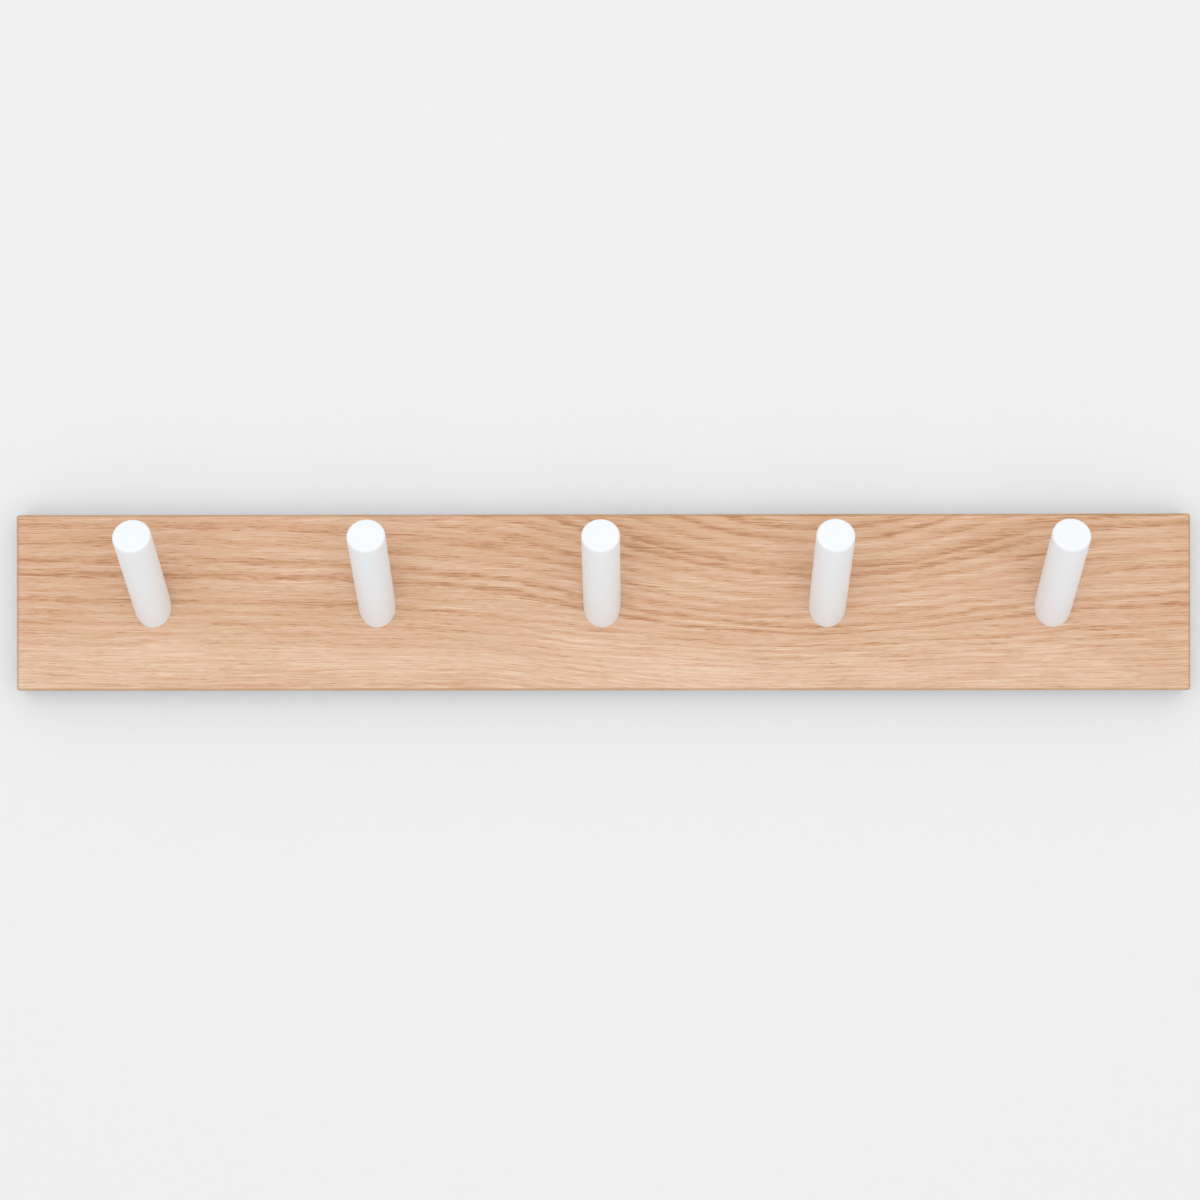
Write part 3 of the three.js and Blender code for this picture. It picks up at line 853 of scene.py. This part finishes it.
board = {
    "cornerRadius": 1.3 * mm,
    "edgeRadius": 1 * mm,
    "steps": 6,  # in each rounded corner and arris
    "screwClearance": 0.3 * mm,
    "holeSegments": 40, "recessSteps": 16,
    # how far each cut reaches out of the wood; the pocket's and the recess's ends lie apart
    "socketPast": 30 * mm, "pegScrewPast": 18 * mm, "plateScrewPast": 3 * mm,
    "recessPast": 1 * mm, "pocketPast": 1.5 * mm,
    "weld": 0.001 * mm,
    "sharpFrom": 20,  # degrees
}


def arc(centre, radius, start, end, steps):
    turns = [start + (end - start) * i / steps for i in range(steps + 1)]
    return [(centre[0] + radius * math.cos(turn), centre[1] + radius * math.sin(turn)) for turn in turns]


def loft(rings):
    # skins a stack of rings that have as many points each
    shape = bmesh.new()
    made = [[shape.verts.new(point) for point in ring] for ring in rings]
    for lower, upper in zip(made, made[1:]):
        for i in range(len(lower)):
            j = (i + 1) % len(lower)
            shape.faces.new((lower[i], lower[j], upper[j], upper[i]))
    shape.faces.new(made[0][::-1])
    shape.faces.new(made[-1])
    bmesh.ops.remove_doubles(shape, verts=shape.verts, dist=board["weld"])
    bmesh.ops.recalc_face_normals(shape, faces=shape.faces)
    return shape


def boardBlank():
    # from the back face to the front one, pulled in by the arrises' rounding at both
    radius, rise, steps = board["cornerRadius"], board["edgeRadius"], board["steps"]
    x, z = cadBoard[1].x - radius, cadBoard[1].z - radius
    quarter = [i / steps * math.pi / 2 for i in range(steps + 1)]
    backLevels = [(rise * (1 - math.sin(t)), -rise * (1 - math.cos(t))) for t in quarter]
    frontLevels = [(inset, cadBoard[0].y - y) for inset, y in backLevels[::-1]]
    rings = []
    for inset, y in backLevels + frontLevels:
        outline = []
        for turn, (sx, sz) in enumerate(((1, 1), (-1, 1), (-1, -1), (1, -1))):
            start = turn * math.pi / 2
            outline += arc((sx * x, sz * z), radius - inset, start, start + math.pi / 2, steps)
        rings.append([(px, y, pz) for px, pz in outline])
    return loft(rings)


def turnedCutter(outline, place, segments):
    # a turned solid about local Z at a place; the outline runs from one end to the other
    turns = [i / segments * 2 * math.pi for i in range(segments)]
    rings = [[place @ Vector((radius * math.cos(turn), radius * math.sin(turn), height)) for turn in turns]
             for radius, height in outline]
    return loft(rings)


def uprightSlot(radius, low, high, x, front, back):
    steps = board["recessSteps"]
    outline = arc((x, high), radius, 0, math.pi, steps) + arc((x, low), radius, math.pi, 2 * math.pi, steps)
    return loft([[(px, y, pz) for px, pz in outline] for y in (back, front)])


def cutterObject(name, shapes):
    mesh = bpy.data.meshes.new(name)
    whole = bmesh.new()
    for shape in shapes:
        piece = bpy.data.meshes.new("part")
        shape.to_mesh(piece)
        shape.free()
        whole.from_mesh(piece)
        bpy.data.meshes.remove(piece)
    whole.to_mesh(mesh)
    whole.free()
    return linkObject(name, mesh)


def screwHole(kind, place, past):
    # the clearance hole round a countersunk screw, open above its head
    gap = board["screwClearance"]
    head, shank = kind["head"] + gap, kind["shank"] + gap
    outline = [(head, -past), (head, kind["rim"]), (shank, kind["rim"] + head - shank),
               (shank, kind["length"] + gap)]
    along = Matrix.Translation((0, 0, kind["sink"]))
    return turnedCutter(outline, place @ along, board["holeSegments"])


def pegCuts():
    towards = Matrix.Rotation(math.pi / 2 - peg["lean"], 4, "X")  # local Z along a peg
    radius = pegRadius + peg["glueLine"]
    outline = [(radius, peg["foot"] - peg["glueLine"]), (radius, board["socketPast"])]
    places = [Matrix.Translation((x, rowStart.y, rowStart.z)) @ towards for x in pegPlaces]
    sockets = [turnedCutter(outline, place, peg["segments"]) for place in places]
    return sockets, [screwHole(pegScrew, place, board["pegScrewPast"]) for place in places]


def plateCuts():
    straight = Matrix.Rotation(math.pi / 2, 4, "X")  # local Z into the board's back
    floor = -plate["sink"] - plate["thickness"] - plate["seatGap"]
    endRise = plate["length"] / 2 - plate["width"] / 2
    keyholeLow = plateMiddle.z - plate["keyholeDrop"]
    recesses, holes = [], []
    for x in (-plateMiddle.x, plateMiddle.x):
        recesses.append(uprightSlot(plate["width"] / 2 + plate["clearance"], plateMiddle.z - endRise,
                                    plateMiddle.z + endRise, x, floor, board["recessPast"]))
        holes.append(uprightSlot(plate["pocketWidth"] / 2, keyholeLow, keyholeLow + plate["slotTravel"], x,
                                 floor - plate["pocketDepth"], board["pocketPast"]))
        for rise in (-screwRise, screwRise):
            place = Matrix.Translation((x, 0, plateMiddle.z + rise)) @ straight
            holes.append(screwHole(plateScrew, place, board["plateScrewPast"]))
    return recesses, holes


def oakBoard(material):
    sockets, screwHoles = pegCuts()
    recesses, plateHoles = plateCuts()
    mesh = bpy.data.meshes.new("oak_board")
    blank = boardBlank()
    blank.to_mesh(mesh)
    blank.free()
    mesh.materials.append(material)
    made = linkObject("oak_board", mesh)
    cutters = [cutterObject(name, shapes) for name, shapes in
               (("socket_cuts", sockets), ("hole_cuts", screwHoles + plateHoles), ("recess_cuts", recesses))]
    for cutter in cutters:
        cut = made.modifiers.new(cutter.name, "BOOLEAN")
        cut.object = cutter
        cut.operation = "DIFFERENCE"
        cut.solver = "EXACT"
    plainMesh(made)
    for cutter in cutters:
        bpy.data.objects.remove(cutter)
    shadeByAngle(made, board["sharpFrom"])
    standFor(made, ["board"])


oakFinish = oakMaterial()
lacquerFinish = lacquerMaterial()
zincFinish = zincMaterial()
print("finishes made")

oakBoard(oakFinish)
whitePegs(lacquerFinish)
woodScrews("peg_screws", pegScrew, (5, rowStep, 1, 0.0), (0, rowStart.y, rowStart.z), peg["lean"],
           zincFinish, [f"peg_screw_{i + 1}" for i in range(5)])
keyholePlates(zincFinish)
woodScrews("plate_screws", plateScrew, (2, 2 * plateMiddle.x, 2, 2 * screwRise), (0, 0, plateMiddle.z), 0.0,
           zincFinish, [f"plate_screw_{side}_{place}" for side in ("left", "right")
                        for place in ("lower", "upper")])
print("pieces made")
